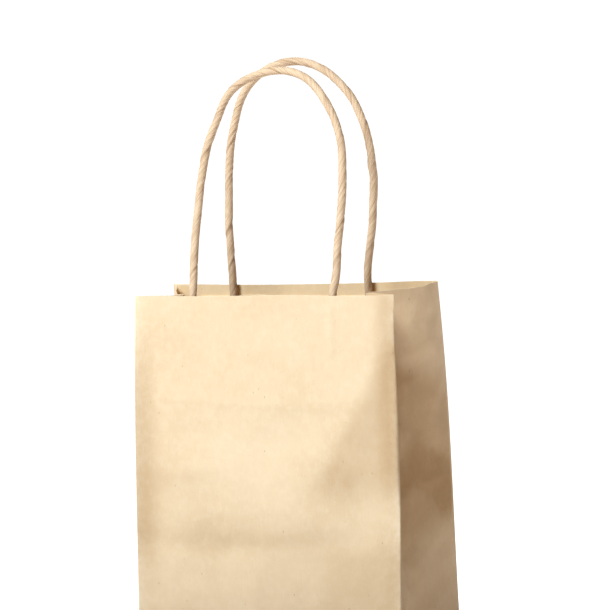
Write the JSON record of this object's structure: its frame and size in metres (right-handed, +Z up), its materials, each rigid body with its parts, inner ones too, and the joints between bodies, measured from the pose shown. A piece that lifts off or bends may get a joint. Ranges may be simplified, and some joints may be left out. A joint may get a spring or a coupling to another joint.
{
  "type": "gift bag",
  "caption": "Plain kraft paper gift bag with a block bottom, folded side gussets, a straight-cut rim and two twisted paper cord handles glued into inner patches.",
  "frame": {"origin": "centre of the bottom, on its underside", "axes": "+X to the bag's right across its width, +Y from the front panel to the back panel, +Z up"},
  "size_m": [0.1578, 0.08, 0.3284],
  "materials": {
    "kraft_paper": "uncoated natural kraft, matte",
    "kraft_gusset": "uncoated natural kraft, matte, creased",
    "kraft_inside": "uncoated natural kraft, matte, glued plies",
    "paper_cord": "tightly twisted kraft paper cord, matte"
  },
  "bodies": {
    "bag_base": {"bottom_flap_back": "kraft_inside", "bottom_flap_front": "kraft_inside", "bottom_tuck_right": "kraft_inside", "bottom_tuck_left": "kraft_inside", "right_gusset_front_fold": "kraft_gusset", "right_gusset_middle": "kraft_gusset", "right_gusset_rear": "kraft_gusset", "left_gusset_front_fold": "kraft_gusset", "left_gusset_middle": "kraft_gusset", "left_gusset_rear": "kraft_gusset"},
    "front_wall": {"front_panel": "kraft_paper", "front_patch_backing": "kraft_inside", "front_patch_cover": "kraft_inside", "front_cord_ends": "paper_cord"},
    "back_wall": {"back_panel": "kraft_paper", "side_seam_lap": "kraft_inside", "back_patch_backing": "kraft_inside", "back_patch_cover": "kraft_inside", "back_cord_ends": "paper_cord"},
    "front_handle_root": {"front_cord_bends": "paper_cord"},
    "front_handle": {"front_cord_loop": "paper_cord"},
    "back_handle_root": {"back_cord_bends": "paper_cord"},
    "back_handle": {"back_cord_loop": "paper_cord"}
  },
  "joints": [
    {"name": "mouth_close", "type": "hinge", "parent": "bag_base", "child": "front_wall", "pos_m": [0, -0.04, 0], "axis": [-1, 0, 0], "range_deg": [-3.8, 5.49], "deforming": ["right_gusset_front_fold", "right_gusset_middle", "right_gusset_rear", "left_gusset_front_fold", "left_gusset_middle", "left_gusset_rear"]},
    {"name": "back_wall_lean", "type": "hinge", "parent": "bag_base", "child": "back_wall", "pos_m": [0, 0.04, 0], "axis": [1, 0, 0], "range_deg": [-3.8, 5.49]},
    {"name": "front_handle_lean", "type": "hinge", "parent": "front_wall", "child": "front_handle_root", "pos_m": [0, -0.02351, 0.21087], "axis": [1, 0, 0], "range_deg": [-13.5, 19.5]},
    {"name": "back_handle_lean", "type": "hinge", "parent": "back_wall", "child": "back_handle_root", "pos_m": [0, 0.02351, 0.21087], "axis": [-1, 0, 0], "range_deg": [-3.13, 4.52]},
    {"name": "front_handle_swing", "type": "hinge", "parent": "front_handle_root", "child": "front_handle", "pos_m": [0, -0.02237, 0.21676], "axis": [1, 0, 0], "range_deg": [0, 115]},
    {"name": "back_handle_swing", "type": "hinge", "parent": "back_handle_root", "child": "back_handle", "pos_m": [0, 0.02357, 0.21687], "axis": [-1, 0, 0], "range_deg": [0, 95]}
  ],
  "couplings": [
    {"joint": "back_wall_lean", "follows": "mouth_close", "ratio": 1},
    {"joint": "front_handle_lean", "follows": "mouth_close", "ratio": 3.55},
    {"joint": "back_handle_lean", "follows": "mouth_close", "ratio": 0.82}
  ]
}
